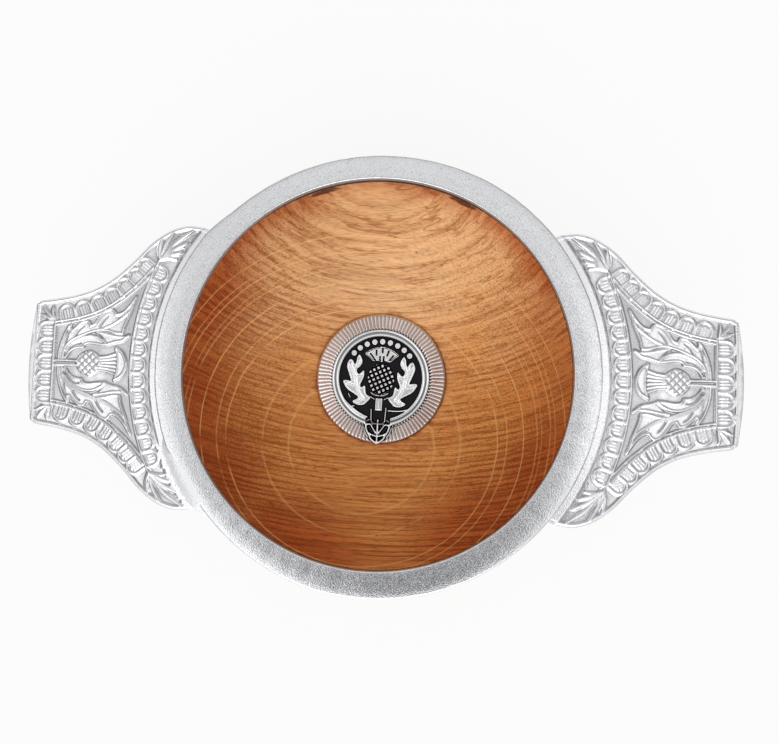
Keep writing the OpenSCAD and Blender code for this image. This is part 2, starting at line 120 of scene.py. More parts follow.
class Carving:
    def __init__(self, plan):
        self.x, self.y = plan.T.copy()
        self.height = np.zeros(len(plan))

    def near(self, line, reach):  # points in the box round a line
        low, high = np.min(line, 0) - reach, np.max(line, 0) + reach
        wide = (self.x > low[0]) & (self.x < high[0])
        return np.nonzero(wide & (self.y > low[1]) & (self.y < high[1]))[0]

    def track(self, line, reach):  # points within reach of a line, their distance and share of the way
        best = np.full(len(self.x), float(reach))
        way = np.zeros(len(self.x))
        for k, (a, b) in enumerate(zip(line, line[1:])):
            at = self.near((a, b), reach)
            d = b - a
            px, py = self.x[at] - a[0], self.y[at] - a[1]
            t = np.clip((px * d[0] + py * d[1]) / max(d @ d, 1e-9), 0, 1)
            gap = np.hypot(px - t * d[0], py - t * d[1])
            closer = gap < best[at]
            best[at[closer]] = gap[closer]
            way[at[closer]] = (k + t[closer]) / (len(line) - 1)
        at = np.nonzero(best < reach)[0]
        return at, best[at], way[at]

    def raiseTo(self, at, height):
        self.height[at] = np.maximum(self.height[at], height)

    def ridge(self, line, half, height, lens=False, soft=0.9):  # rounded bar along a line, or a leaflet
        at, gap, way = self.track(np.asarray(line, float), half)
        if lens:
            half = half * np.maximum(np.sin(np.pi * (0.03 + 0.95 * way)), 0.02) ** 0.6
        self.raiseTo(at, height * np.clip(1 - (gap / half) ** 2, 0, 1) ** soft)

    def groove(self, line, half, depth):  # soft cut along a line
        at, gap, way = self.track(np.asarray(line, float), half)
        self.height[at] -= depth * (1 - (gap / half) ** 2) * np.minimum(1, 8 * way * (1 - way) + 0.2)

    def within(self, line):  # points inside a closed line
        at = self.near(line, 0)
        px, py = self.x[at], self.y[at]
        odd = np.zeros(len(at), bool)
        for a, b in zip(line, np.roll(line, -1, 0)):
            if a[1] != b[1]:
                crosses = (a[1] > py) != (b[1] > py)
                odd ^= crosses & (px < a[0] + (py - a[1]) / (b[1] - a[1]) * (b[0] - a[0]))
        return at[odd]

    def body(self, line, height, soft):  # raised shape inside a closed line, with rounded edges
        line = np.asarray(line, float)
        depth = np.full(len(self.x), float(soft))
        at, gap, _ = self.track(np.vstack([line, line[:1]]), soft)
        depth[at] = gap
        at = self.within(line)
        self.raiseTo(at, height * np.sqrt(1 - (1 - depth[at] / soft) ** 2))

    def lozenges(self, centre, radii, pitch, turn, gap, heights, soft=0.7):  # domed oval cut into lozenges
        ground, top = heights
        dx, dy = (self.x - centre[0]) / radii[0], (self.y - centre[1]) / radii[1]
        at = np.nonzero(dx**2 + dy**2 < 1)[0]
        dome = np.sqrt(1 - dx[at] ** 2 - dy[at] ** 2)
        px, py = self.x[at] - centre[0], self.y[at] - centre[1]
        c, s = math.cos(math.radians(turn)), math.sin(math.radians(turn))
        a = np.abs(np.sin(np.pi * (px * c + py * s) / pitch))
        b = np.abs(np.sin(np.pi * (py * c - px * s) / pitch))
        cell = np.clip((np.minimum(a, b) - gap) / (0.75 - gap), 0, 1) ** soft
        self.raiseTo(at, ground * dome + top * np.minimum(1, 2.5 * dome) * cell)


# meshes


def readPoints(bm):
    return np.array([v.co[:] for v in bm.verts])


def writePoints(bm, points, hollow=None):
    layer = None if hollow is None else bm.verts.layers.float.new("hollow")
    for k, vert in enumerate(bm.verts):
        vert.co = points[k]
        if layer:
            vert[layer] = hollow[k]


def spinProfile(points, steps):  # full turn of a profile of radius and height about Z
    bm = bmesh.new()
    verts = [bm.verts.new((r, 0, z)) for r, z in points]
    line = verts + [bm.edges.new(pair) for pair in zip(verts, verts[1:])]
    part = {"cent": (0, 0, 0), "axis": (0, 0, 1), "angle": math.tau / 8, "steps": steps // 8}
    bmesh.ops.spin(bm, geom=line, **part)
    for turn in (math.tau / 8, math.tau / 4, math.tau / 2):  # an eighth is doubled three times
        copy = bmesh.ops.duplicate(bm, geom=bm.verts[:] + bm.edges[:] + bm.faces[:])["geom"]
        copied = [v for v in copy if isinstance(v, bmesh.types.BMVert)]
        bmesh.ops.rotate(bm, cent=(0, 0, 0), matrix=Matrix.Rotation(turn, 3, "Z"), verts=copied)
    bmesh.ops.remove_doubles(bm, verts=bm.verts[:], dist=1e-4)
    bmesh.ops.recalc_face_normals(bm, faces=bm.faces[:])
    return bm


def closeBelow(bm, z):  # wall from the open edge down to a height, and a floor
    wall = bmesh.ops.extrude_edge_only(bm, edges=[e for e in bm.edges if e.is_boundary])["geom"]
    for vert in wall:
        if isinstance(vert, bmesh.types.BMVert):
            vert.co.z = z
    foot = [e for e in wall if isinstance(e, bmesh.types.BMEdge) and e.is_boundary]
    bmesh.ops.holes_fill(bm, edges=foot, sides=0)
    bmesh.ops.recalc_face_normals(bm, faces=bm.faces[:])


def finishPiece(bm, name, finish, stands=(), crease=50):  # bmesh in mm to an object on the root body
    bmesh.ops.scale(bm, vec=(1 / toMm,) * 3, verts=bm.verts[:])
    mesh = bpy.data.meshes.new(name)
    bm.to_mesh(mesh)
    bm.free()
    mesh.shade_smooth()
    mesh.set_sharp_from_angle(angle=math.radians(crease))
    piece = bpy.data.objects.new(name, mesh)
    bpy.context.collection.objects.link(piece)
    mesh.materials.append(finish)
    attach(piece, "root")
    if stands:
        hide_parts(*stands)
    print(name, len(mesh.polygons), "faces")


# shader nodes


class Signal:  # one socket; arithmetic on it adds Math nodes
    def __init__(self, tree, socket):
        self.tree, self.socket = tree, socket

    def math(self, operation, *values):
        node = self.tree.nodes.new("ShaderNodeMath")
        node.operation = operation
        for slot, value in zip(node.inputs, values):
            if isinstance(value, Signal):
                self.tree.links.new(value.socket, slot)
            else:
                slot.default_value = value
        return Signal(self.tree, node.outputs[0])

    def __add__(self, other):
        return self.math("ADD", self, other)

    def __radd__(self, other):
        return self.math("ADD", other, self)

    def __sub__(self, other):
        return self.math("SUBTRACT", self, other)

    def __rsub__(self, other):
        return self.math("SUBTRACT", other, self)

    def __mul__(self, other):
        return self.math("MULTIPLY", self, other)

    def __rmul__(self, other):
        return self.math("MULTIPLY", other, self)

    def __truediv__(self, other):
        return self.math("DIVIDE", self, other)

    def __pow__(self, other):
        return self.math("POWER", self, other)

    def __abs__(self):
        return self.math("ABSOLUTE", self)

    def most(self, other):
        return self.math("MAXIMUM", self, other)

    def sine(self):
        return self.math("SINE", self)


class Finish:  # builds one node tree
    def __init__(self, owner):
        self.owner = owner
        owner.use_nodes = True
        self.tree = owner.node_tree
        self.tree.nodes.clear()

    def node(self, kind, settings=None, inputs=None, out=0):
        node = self.tree.nodes.new("ShaderNode" + kind)
        for key, value in (settings or {}).items():
            if key == "stops":
                ramp = node.color_ramp
                for _ in value[2:]:
                    ramp.elements.new(0.5)
                for element, (place, colour) in zip(ramp.elements, value):
                    element.position = place
                    element.color = (*colour, 1)
            else:
                setattr(node, key, value)
        for key, value in (inputs or {}).items():
            if isinstance(value, Signal):
                self.tree.links.new(value.socket, node.inputs[key])
            elif node.inputs[key].type == "RGBA":
                node.inputs[key].default_value = (*value, 1)
            else:
                node.inputs[key].default_value = value
        return Signal(self.tree, node.outputs[out]) if len(node.outputs) else None

    def place(self):  # object coordinates in mm
        spot = self.node("TexCoord", out="Object")
        return self.node("VectorMath", {"operation": "SCALE"}, {0: spot, "Scale": toMm})

    def along(self, spot, axis):  # share of a place along an axis
        return self.node("VectorMath", {"operation": "DOT_PRODUCT"}, {0: spot, 1: axis}, "Value")

    def apart(self, spot, point):  # distance to a point
        return self.node("VectorMath", {"operation": "DISTANCE"}, {0: spot, 1: point}, "Value")

    def joined(self, x, y, z):
        return self.node("CombineXYZ", None, {0: x, 1: y, 2: z})

    def noise(self, spot, scale, detail=2.0, rough=0.5):
        ends = {"Vector": spot, "Scale": scale, "Detail": detail, "Roughness": rough}
        return self.node("TexNoise", None, ends)

    def step(self, value, low, high, a=0.0, b=1.0):  # smooth change from a at low to b at high
        ends = {0: value, 1: low, 2: high, 3: a, 4: b}
        return self.node("MapRange", {"interpolation_type": "SMOOTHSTEP"}, ends)

    def mix(self, share, first, second, how="MIX"):  # colours
        kind = {"data_type": "RGBA", "blend_type": how}
        return self.node("Mix", kind, {0: share, 6: first, 7: second}, 2)

    def bump(self, height, distance, strength=1.0):
        ends = {"Height": height, "Distance": distance / toMm, "Strength": strength}
        return self.node("Bump", None, ends)

    def surface(self, inputs):
        shader = self.node("BsdfPrincipled", None, inputs)
        self.node("OutputMaterial", None, {0: shader})
        return self.owner


def newFinish(name):
    return Finish(bpy.data.materials.new(name))


# camera at the photograph's viewing point

view = {
    "size": (778, 744),
    "place": (12.8, -12.3, lipZ + 195.1),  # mm
    "turn": (-3.48, -3.78, -2.12),  # pitch, yaw and roll in degrees
    "focal": 773.1,  # pixels
    "sensor": 36.0,
    "shift": (0.0185, 0.0025),
}


def addCamera():
    pitch, yaw, roll = [math.radians(a) for a in view["turn"]]
    toView = Matrix.Rotation(roll, 3, "Z") @ Matrix.Rotation(pitch, 3, "X") @ Matrix.Rotation(yaw, 3, "Y")
    data = bpy.data.cameras.new("camera")
    data.sensor_width = view["sensor"]
    data.lens = data.sensor_width * view["focal"] / view["size"][0]
    data.shift_x, data.shift_y = view["shift"]
    data.clip_start = 0.01
    camera = bpy.data.objects.new("camera", data)
    camera.matrix_world = Matrix.Translation(Vector(view["place"]) / toMm) @ toView.transposed().to_4x4()
    bpy.context.collection.objects.link(camera)
    bpy.context.scene.camera = camera


# light: a soft studio dome, brighter where the large lamps stand, darker beside the camera

dome = {
    "base": 0.19,
    "horizon": 0.38,
    "tint": (0.985, 0.992, 1.0),
    "lamps": [  # angle from the zenith, bearing from +X, strength, tightness
        (0, 0, 0.44, 3.0),
        (0, 0, 0.20, 10.0),
        (50, 268, 2.20, 6.0),
        (62, 90, 0.25, 4.0),
        (14.5, 3, 0.70, 90.0),
        (20, 5, 0.15, 60.0),
        (17, 216, 1.30, 130.0),
        (31, 174, 1.00, 75.0),
        (20, 105, 0.18, 50.0),
        (58, 356, 2.00, 70.0),
        (9.5, 258, -3.60, 80.0),
    ],
}


def addLight():
    world = bpy.data.worlds.new("studio")
    bpy.context.scene.world = world
    sky = Finish(world)
    way = sky.node("TexCoord", out="Generated")
    way = sky.node("VectorMath", {"operation": "NORMALIZE"}, {0: way})
    level = dome["base"]
    for fall, bearing, strength, tightness in dome["lamps"]:
        flat = polar(math.sin(math.radians(fall)), bearing)
        aim = (float(flat[0]), float(flat[1]), math.cos(math.radians(fall)))
        level = sky.along(way, aim).most(0.0) ** tightness * strength + level
    level = level.most(dome["base"])
    level = level + sky.step(sky.along(way, (0, 0, 1)), 0.36, 0.06) * dome["horizon"]
    glow = sky.node("Background", None, {"Color": dome["tint"], "Strength": level})
    sky.node("OutputWorld", None, {0: glow})


# floor: white, with the object's soft shadow

ground = {"side": 6000, "colour": (0.93, 0.93, 0.93), "glow": 0.88}


def addFloor():
    paint = newFinish("floor_white")
    seen = paint.node("LightPath", out="Is Camera Ray")
    for ray in ("Is Glossy Ray", "Is Transmission Ray"):
        seen = seen.most(paint.node("LightPath", out=ray))
    matte = paint.node("BsdfDiffuse", None, {"Color": ground["colour"]})
    glow = paint.node("Emission", None, {"Color": (1, 1, 1), "Strength": 1.0})
    both = paint.node("MixShader", None, {0: seen * ground["glow"], 1: matte, 2: glow})
    paint.node("OutputMaterial", None, {0: both})
    bm = bmesh.new()
    bmesh.ops.create_grid(bm, x_segments=1, y_segments=1, size=ground["side"] / toMm / 2)
    mesh = bpy.data.meshes.new("floor")
    bm.to_mesh(mesh)
    bm.free()
    mesh.materials.append(paint.owner)
    floor = bpy.data.objects.new("floor", mesh)
    bpy.context.collection.objects.link(floor)


# finishes

oak = {
    "growth": (0.090, 0.355, 0.931),  # across the growth rings
    "rays": (0.0, 0.934, -0.357),  # across the ray bands
    "rings": [  # place along the growth, and strength
        (7.8, 0.5), (11.2, 0.6), (17.8, 0.9), (19.8, 0.7), (23.8, 0.9),
        (27.4, 0.7), (28.7, 0.5), (31.3, 0.9), (32.8, 0.6), (36.0, 0.9),
    ],
    "ringHalf": (0.18, 0.20),  # a ring's fade below and above its place
    "span": (5.0, 50.0),
    # how fine each pattern is along x, across the rays and across the growth
    "band": (0.025, 0.95, 0.06),
    "sway": (0.03, 0.22, 0.10),
    "hair": (0.035, 0.7, 0.07),
    "fibre": (0.13, 2.6, 2.4),
    "dash": (0.5, 3.2, 3.2),
    "pores": (0.16, 0.22, 0.22),
    # painted light and sheen: the colour the wood turns towards +Y, where the wall faces the lamps
    "paintedSheen": (1.0, 0.60, 0.29),
    "light": (0.93, 0.41, 0.115),
    # dark end grain colour, also used for painted shade on the sides
    "endGrainShade": (0.62, 0.135, 0.022),
    "line": (0.50, 0.33, 0.20),  # how much of each colour a dark line leaves
    "lee": (0.68, 0.60, 0.54),  # the same for the shade at the left
    "ring": (1.0, 0.57, 0.20),
    "pore": (0.08, 0.02, 0.008),
    "stain": (0.10, 0.020, 0.006),
    "seamAndShadow": (0.020, 0.017, 0.018),
    "shades": [  # places where the end grain and the painted shade are darkest
        (-50, 18, 40), (-52, -5, 40), (-45, -28, 40), (-20, -46, 40), (28, -40, 38), (44, -24, 42),
    ],
    "marks": [((0.952, 0.305, 0), 0.0, 37.9), ((0.903, -0.43, 0), -0.1, 38.0)],  # along, place, height
    "markHalf": (4.0, 0.8),
}


def grainSpot(paint, grain, key):  # place stretched along the grain
    return paint.joined(*[each * scale for each, scale in zip(grain, oak[key])])


def oakRings(paint, spot, growth):  # pale growth rings, worn away in places
    low, high = oak["span"]
    below, above = oak["ringHalf"]
    stops = [(0.0, (0, 0, 0))]
    for level, strength in oak["rings"]:
        for part, shade in ((-below, 0.0), (0.0, strength), (above, 0.0)):
            stops.append(((level + part - low) / (high - low), (shade,) * 3))
    stops.append((1.0, (0, 0, 0)))
    warp = (paint.noise(spot, 0.12, 1.0) - 0.5) * 0.4
    ring = paint.node("ValToRGB", {"stops": stops}, {0: (growth + warp - low) / (high - low)})
    return ring * paint.step(paint.noise(spot, 0.09, 2.0), 0.30, 0.50)


def oakShades(paint, spot, axes, band):  # share of dark end grain mixed with painted shade, and of painted shade on the right, front and upper back
    x, y, z = axes
    gone = paint.apart(spot, oak["shades"][0])
    for point in oak["shades"][1:]:
        gone = gone.math("MINIMUM", gone, paint.apart(spot, point))
    end = paint.step(gone + (band - 0.5) * 14.0, 30.0, 8.0)
    side = (paint.step(x, 26.0, 50.0) * 0.55).most(paint.step(y, -34.0, -52.0) * 0.5)
    upper = paint.step(z + abs(x) * 0.12 + (band - 0.5) * 9.0, 32.0, 45.0) * paint.step(y, 8.0, 26.0)
    return end, side.most(upper * 0.9)


def oakLines(paint, y, grain, band, cloud, end):  # dark lines of the grain, and the fibre alone
    x, rays, _ = grain
    wall = paint.step(abs(x), 14.0, 42.0)
    sway = paint.noise(grainSpot(paint, grain, "sway"), 1.0, 2.0)
    wave = (rays * 3.9 + sway * 11.0).sine()
    hair = paint.noise(grainSpot(paint, grain, "hair"), 1.0, 2.0, 0.55)
    hair = paint.step(abs(hair - 0.52), 0.030, 0.004)
    fibre = paint.noise(grainSpot(paint, grain, "fibre"), 1.0, 3.0, 0.65)
    dash = paint.noise(grainSpot(paint, grain, "dash"), 1.0, 1.0, 0.5)
    ladder = wall * 0.45 + paint.step(y, -9.0, -24.0) * 0.28 + 0.22
    lines = paint.step(band, 0.42, 0.66) * (end * 0.3 + 0.5) + hair * 0.55
    lines = lines + paint.step(wave, 0.0, 1.0) * paint.step(cloud, 0.3, 0.6) * ladder
    lines = lines + paint.step(fibre, 0.45, 0.68) * 0.4 + paint.step(dash, 0.5, 0.66) * (wall * 0.5 + 0.3)
    return lines, fibre


def oakMarks(paint, spot, axes, colour):  # dark marks near the rim, and the dark seam under it, partly a painted shadow of the rim's edge
    x, y, z = axes
    half, tall = oak["markHalf"]
    blot = paint.noise(paint.joined(x * 1.1, y * 1.1, z * 2.2), 1.0, 3.0) * 2.4 - 1.2
    for axis, place, height in oak["marks"]:
        reach = ((paint.along(spot, axis) - place) / half) ** 2.0 + ((z - height) / tall) ** 2.0
        mark = paint.step(reach + blot, 1.2, 0.5) * paint.step(y, 30.0, 32.0)
        colour = paint.mix(mark * 0.92, colour, oak["stain"])
    # dark seam below the rim, widened at the back and weakened at the left as painted shadow
    level = z + paint.noise(spot, 1.5, 1.0) * 0.3 + paint.step(y, 36.0, 47.0) * 0.30
    seamAndShadow = paint.step(level, lipZ - 0.1, lipZ + 0.05) * paint.step(x, -42.0, -15.0, 0.35, 0.95)
    return paint.mix(seamAndShadow, colour, oak["seamAndShadow"])


def oakFinish():
    paint = newFinish("turned_oak")
    spot = paint.place()
    axes = [paint.along(spot, axis) for axis in ((1, 0, 0), (0, 1, 0), (0, 0, 1))]
    x, y, _ = axes
    rays, growth = [paint.along(spot, oak[key]) for key in ("rays", "growth")]
    grain = x, rays, growth
    cloud = paint.noise(spot, 0.055, 2.0)
    band = paint.noise(grainSpot(paint, grain, "band"), 1.0, 3.0, 0.6)
    end, side = oakShades(paint, spot, axes, band)
    lines, fibre = oakLines(paint, y, grain, band, cloud, end)

    # painted light: lighter and paler towards +Y
    colour = paint.mix(paint.step(y + (cloud - 0.5) * 40.0, -12.0, 34.0), oak["light"], oak["paintedSheen"])
    # dark end grain, mixed with painted shade on the right, front and upper back walls
    colour = paint.mix((end * 0.9).most(side), colour, oak["endGrainShade"])
    colour = paint.mix(paint.step(x - y * 0.25, 12.0, -46.0) * 0.62, colour, oak["lee"], "MULTIPLY")
    colour = paint.mix(lines * 0.85, colour, oak["line"], "MULTIPLY")
    far = (x * x + y * y) ** 0.5
    near = paint.step(far + paint.noise(spot, 0.35, 2.0) * 5.0, 22.6, 20.6)  # painted shade beside the roundel
    colour = paint.mix(near * 0.6, colour, oak["line"], "MULTIPLY")
    colour = paint.mix(oakRings(paint, spot, growth) * 0.9, colour, oak["ring"])
    cells = {"Vector": grainSpot(paint, grain, "pores"), "Scale": 1.0}
    pore = paint.step(paint.node("TexVoronoi", None, cells), 0.07, 0.03)
    colour = paint.mix(pore * 0.7, colour, oak["pore"])
    colour = oakMarks(paint, spot, axes, colour)
    return paint.surface({
        "Base Color": colour,
        "Roughness": paint.step(fibre, 0.3, 0.7, 0.38, 0.5),
        "Normal": paint.bump(lines * -1.0, 0.04, 0.5),
        "Specular IOR Level": 0.25, "Coat Weight": 0.1, "Coat Roughness": 0.35,
    })


pewter = {
    "light": (0.82, 0.82, 0.835),
    "grey": (0.72, 0.72, 0.74),
    "speck": (0.40, 0.40, 0.41),
    "dull": (0.42, 0.36, 0.325),
    "leeWay": (1, -0.2, 0),
    # scale, detail and roughness of the patterns
    "sand": (3.6, 1.5, 0.6), "cloud": (0.22, 2.0), "pit": (1.1, 1.0), "fine": (2.8, 1.0),
}


def pewterFinish(name, grain, rough, sandy, tone=(1, 1, 1), dark=None, wallR=None, lee=None):
    paint = newFinish(name)
    spot = paint.place()
    sand, cloud, pit, fine = [paint.noise(spot, *pewter[key]) for key in ("sand", "cloud", "pit", "fine")]
    light, grey = [tuple(a * b for a, b in zip(tone, pewter[key])) for key in ("light", "grey")]
    colour = paint.mix(paint.step(cloud, 0.35, 0.7) * 0.3, light, grey)
    colour = paint.mix(paint.step(fine, 0.45, 0.75) * sandy, colour, pewter["speck"])
    colour = paint.mix(paint.step(pit, 0.66, 0.74) * 0.4, colour, pewter["speck"])
    if lee:  # painted shade on the side away from the light
        side = paint.step(paint.along(spot, pewter["leeWay"]), 9.0, 16.0)
        colour = paint.mix(side, colour, lee, "MULTIPLY")
    if dark:  # recesses keep some of the casting's dark skin; the same mask also carries painted shade beside ridges and on steep sides
        deep = paint.node("Attribute", {"attribute_name": "hollow"}, out="Fac")
        colour = paint.mix(paint.step(deep, 0.05, 0.9) * dark[0], colour, dark[1])
    shine = paint.step(sand, 0.25, 0.75, rough - 0.04, rough + 0.08)
    metal = 1.0
    if wallR:  # the face towards the wood is dull
        x, y = paint.along(spot, (1, 0, 0)), paint.along(spot, (0, 1, 0))
        far = (x * x + y * y) ** 0.5
        dull = paint.step(far, wallR + 0.07, wallR + 0.01)
        colour = paint.mix(dull, colour, pewter["dull"])
        shine = shine + dull * 0.3
        metal = 1.0 - dull * 0.85
    bump = paint.bump(sand + pit * 0.3, grain)
    return paint.surface({"Base Color": colour, "Metallic": metal, "Roughness": shine, "Normal": bump})


tints = {  # the two colours that each small finish wanders between
    "bedding": ((0.020, 0.014, 0.010), (0.070, 0.045, 0.030)),
    # near-white and mostly matte: the solder's colour, partly a painted highlight
    "solder": ((0.93, 0.93, 0.94), (1.0, 1.0, 1.0)),
    "enamel": ((0.004, 0.004, 0.006), (0.016, 0.014, 0.017)),
}


def beddingFinish():
    paint = newFinish("bedding_dark")
    spot = paint.place()
    lump = paint.noise(spot, 1.2, 3.0)
    colour = paint.mix(lump, *tints["bedding"])
    return paint.surface({"Base Color": colour, "Roughness": 0.75, "Normal": paint.bump(lump, 0.05, 0.5)})


def solderFinish():
    paint = newFinish("solder_and_highlight")
    spot = paint.place()
    flow = paint.noise(spot, 0.5, 3.0)
    frost = paint.noise(spot, 2.4, 2.0)
    # near-white solder colour, partly a painted highlight
    colour = paint.mix(flow, *tints["solder"])
    shine = paint.step(flow, 0.3, 0.7, 0.22, 0.34)
    bump = paint.bump(flow + frost * 0.3, 0.04, 0.6)
    return paint.surface({"Base Color": colour, "Metallic": 0.25, "Roughness": shine, "Normal": bump})


def enamelFinish():
    paint = newFinish("black_enamel")
    spot = paint.place()
    haze = paint.noise(spot, 0.9, 3.0)
    colour = paint.mix(haze, *tints["enamel"])
    shine = paint.step(haze, 0.3, 0.7, 0.4, 0.55)
    bump = paint.bump(haze, 0.03, 0.4)
    ends = {"Base Color": colour, "Roughness": shine, "Normal": bump, "Specular IOR Level": 0.12}
    return paint.surface(ends)


# bowl: turned body with foot, stepped lip and seat

bowlShape = {
    "openingR": 49.5, "floorR": 20.0, "floorZ": 12.0, "seatZ": 11.0, "skirtZ": 31.0, "lipIn": 2.85,
    "footR": 25.0, "footH": 7.0, "coveH": 2.5, "coveD": 1.6, "ringW": 5.5, "hollowZ": 2.0,
    "steps": 256,
}


def sphereThrough(r1, z1, r2, z2):  # middle height and radius of a sphere on the axis through two rings
    c = (r1**2 - r2**2 + z1**2 - z2**2) / (2 * (z1 - z2))
    return c, math.hypot(r1, z1 - c)


def onSphere(sphere, z1, z2, n):
    c, r = sphere
    return [(math.sqrt(r * r - (z - c) ** 2), z) for z in np.linspace(z1, z2, n)]


def makeBowl(finish):
    b = bowlShape
    outside = sphereThrough(rimR - 0.6, b["skirtZ"], b["footR"] - b["coveD"], b["footH"])
    well = sphereThrough(b["openingR"], lipZ, b["floorR"], b["floorZ"])
    inFoot, lipR = b["footR"] - b["ringW"], rimR - b["lipIn"]
    seatR = roundelHigh[0] + 0.15
    coveZ = b["footH"] - b["coveH"]
    profile = [(0, b["hollowZ"]), (inFoot - 0.4, b["hollowZ"]), (inFoot, b["hollowZ"] - 0.4), (inFoot, 0.3)]
    profile += [(inFoot + 0.3, 0), (b["footR"] - 0.5, 0), (b["footR"], 0.5), (b["footR"], coveZ - 0.4)]
    profile += [(b["footR"] - 0.3, coveZ)]
    profile += onSphere(outside, b["footH"], b["skirtZ"] - 0.3, 24)
    profile += [(rimR - 0.9, b["skirtZ"]), (lipR, b["skirtZ"]), (lipR, lipZ - 0.2), (lipR - 0.2, lipZ)]
    profile += [(b["openingR"] + 0.15, lipZ)]
    profile += onSphere(well, lipZ - 0.15, b["floorZ"] + 0.15, 40)
    profile += [(b["floorR"] - 0.3, b["floorZ"]), (seatR + 0.12, b["floorZ"]), (seatR, b["floorZ"] - 0.12)]
    profile += [(seatR, b["seatZ"]), (0, b["seatZ"])]
    finishPiece(spinProfile(profile, b["steps"]), "bowl_wood", finish, ["bowl"])


# rim: angle section, sloped inside, nearly flat on top, ground by hand

rimShape = {
    "innerR": 49.5, "edgeZ": 40.84, "edgeRound": 0.28, "skirtIn": 2.7, "steps": 480,
    "wobble": 0.12, "sag": 0.05, "filedZ": (37.6, 40.2), "filedR": (53.2, 55.9),  # hand work
    "slope": [(50.0, 40.86), (50.8, 40.90), (51.6, 40.945), (52.2, 40.98)],  # inner part of the top
    "trim": [  # bearing, and how far the outer edge was filed back
        (40, 0), (60, 0.3), (75, 0.75), (90, 1.0), (120, 1.3), (134, 1.0), (142, 0),
        (202, 0), (207, 1.0), (226, 0.8), (240, 0.5), (255, 0.1), (270, 0.15), (285, 0),
    ],
}


def makeRim(finish):
    r = rimShape
    low, top = lipZ + 0.25, rimHigh[2] - 0.03
    edge, soft = r["edgeZ"], r["edgeRound"]
    profile = [(r["innerR"], low), (r["innerR"], edge - 0.3)]
    profile += arcPoints((r["innerR"] + soft, edge - soft), soft, 180, 94, 6)
    profile += r["slope"] + [(52.6, top - 0.035), (53.0, top - 0.015)]
    profile += [(54.5, top), (rimR - 0.62, top), (rimR - 0.52, top - 0.01)]
    profile += arcPoints((rimR - 0.5, top - 0.5), 0.49, 85, 5, 6)
    skirtR = rimR - r["skirtIn"]
    profile += [(rimR, top - 1.5), (rimR, top - 3.5), (rimR, rimLow[2] + 0.4), (rimR - 0.4, rimLow[2])]
    profile += [(skirtR, rimLow[2]), (skirtR, low), profile[0]]
    bm = spinProfile(profile, r["steps"])
    bearings, trims = zip(*r["trim"])
    for vert in bm.verts:
        far, bearing = vert.co.xy.length, math.degrees(math.atan2(vert.co.y, vert.co.x)) % 360
        flat = vert.co.xy / far * 5
        shake = abs(noise.noise((flat.x, flat.y, 0)) + 0.5 * noise.noise((flat.x * 4, flat.y * 4, 5)))
        upper = ease(*r["filedZ"], vert.co.z)
        filed = np.interp(bearing, bearings, trims) * upper * ease(*r["filedR"], far)
        worn = 1 - (filed + r["wobble"] * shake * (far > rimR - 0.8)) / far
        vert.co.x *= worn
        vert.co.y *= worn
        vert.co.z -= r["sag"] * shake * (vert.co.z > low + 0.5)
    finishPiece(bm, "rim_cast", finish, ["rim"], 30)


# lugs: flat castings in low relief, drawn for the one along +X

lug = {
    "grid": (262, 368),  # steps from root to end, and across
    "hornHalf": 39.0,  # degrees from +X to the tip of a horn
    "side": [
        (46.4, 36.5), (50.0, 36.95), (53.0, 36.4), (56.0, 35.1), (60.0, 32.2), (65.0, 26.9),
        (70.0, 22.4), (75.0, 19.5), (80.0, 17.8), (85.0, 16.8), (88.0, 16.35), (88.9, 16.1),
    ],
    "corner": (89.56, 15.6),
    "end": [(90.05, 14.9), (90.25, 13.9), (91.05, 9.8), (91.75, 5.0)],
    "bead": [(89.35, -15.2), (89.75, -8), (89.8, 0), (89.75, 8), (89.35, 15.2)],
    "bevelX": 89.75,
    "edge": [(0, 0.05), (0.25, 0.40), (0.5, 0.56), (0.8, 0.58), (1.05, 0.44), (1.3, 0)],  # inward, height
    "relief": 0.80, "depth": 1.2, "bandZ": 0.14,
    "stripR": 58.9, "frameR": 63.9, "frameX": 84.8, "rootHalf": 24.6,
    "sideFrame": [
        (59.3, 25.7), (62.0, 22.6), (65.0, 19.6), (70.0, 15.6), (75.0, 13.1), (80.0, 11.6), (84.8, 10.7),
    ],
    "rootScallops": 13,
    "sideScallops": [
        (61.5, 26.2), (64.2, 23.6), (67.0, 21.0), (70.2, 18.5), (73.8, 16.6), (77.8, 15.25), (82.0, 14.3),
    ],
    "endScallops": [-8.6, -4.3, 0, 4.3, 8.6],
    "globe": (75.2, 3.45, 3.15),  # place along the lug and half sizes
    "tuft": [(68.3, 4.2), (66.5, 3.1), (65.5, 1.2), (65.3, 0), (65.5, -1.2), (66.5, -3.1), (68.3, -4.2)],
    "tuftFoot": [(68.3, -4.2), (67.7, -2.2), (67.5, 0), (67.7, 2.2), (68.3, 4.2)],
    # half width, and height or depth
    "arch": (0.52, 0.48), "flute": (0.36, 0.45), "frame": (0.42, 0.52), "inFrame": (0.36, 0.42),
    "leafEdge": (0.40, 0.58), "leafVein": (0.32, 0.22),
    "dusk": (0.20, 0.52), "mottle": 0.35,  # darkness in bands and panel, how uneven
    "nookShade": (5, 0.37, 0.95),  # blur, height and limit of the painted shade beside ridges
}
bothSides = np.array([(1, 1), (1, -1)])


def lugEdges():  # tip of the horn, outer end from lower to upper corner, upper side
    horn = polar(rimR + 0.05, lug["hornHalf"])
    end = curveThrough([lug["corner"]] + lug["end"] + [(lugTip, 0)], 8)
    end = np.vstack([end, end[-2::-1] * (1, -1)])[::-1]
    side = curveThrough([tuple(horn)] + lug["side"] + [lug["corner"]], 6)
    return horn, end, side


def lugPlan(u, v):  # u from root to end, v across from -1 to 1
    horn, end, side = lugEdges()
    w = (v + 1) / 2
    upper = spaced(side, u)
    root = polar(rimR + 0.05, lug["hornHalf"] * v)
    tip = spaced(end, w)
    u, w = u[:, None], w[:, None]
    across = (1 - w) * (1, -1) + w * (1, 1)  # blends a point with its mirror image
    flat = (1 - u) * horn * across + u * np.array(lug["corner"]) * across
    return (1 - u) * root + u * tip + upper * across - flat


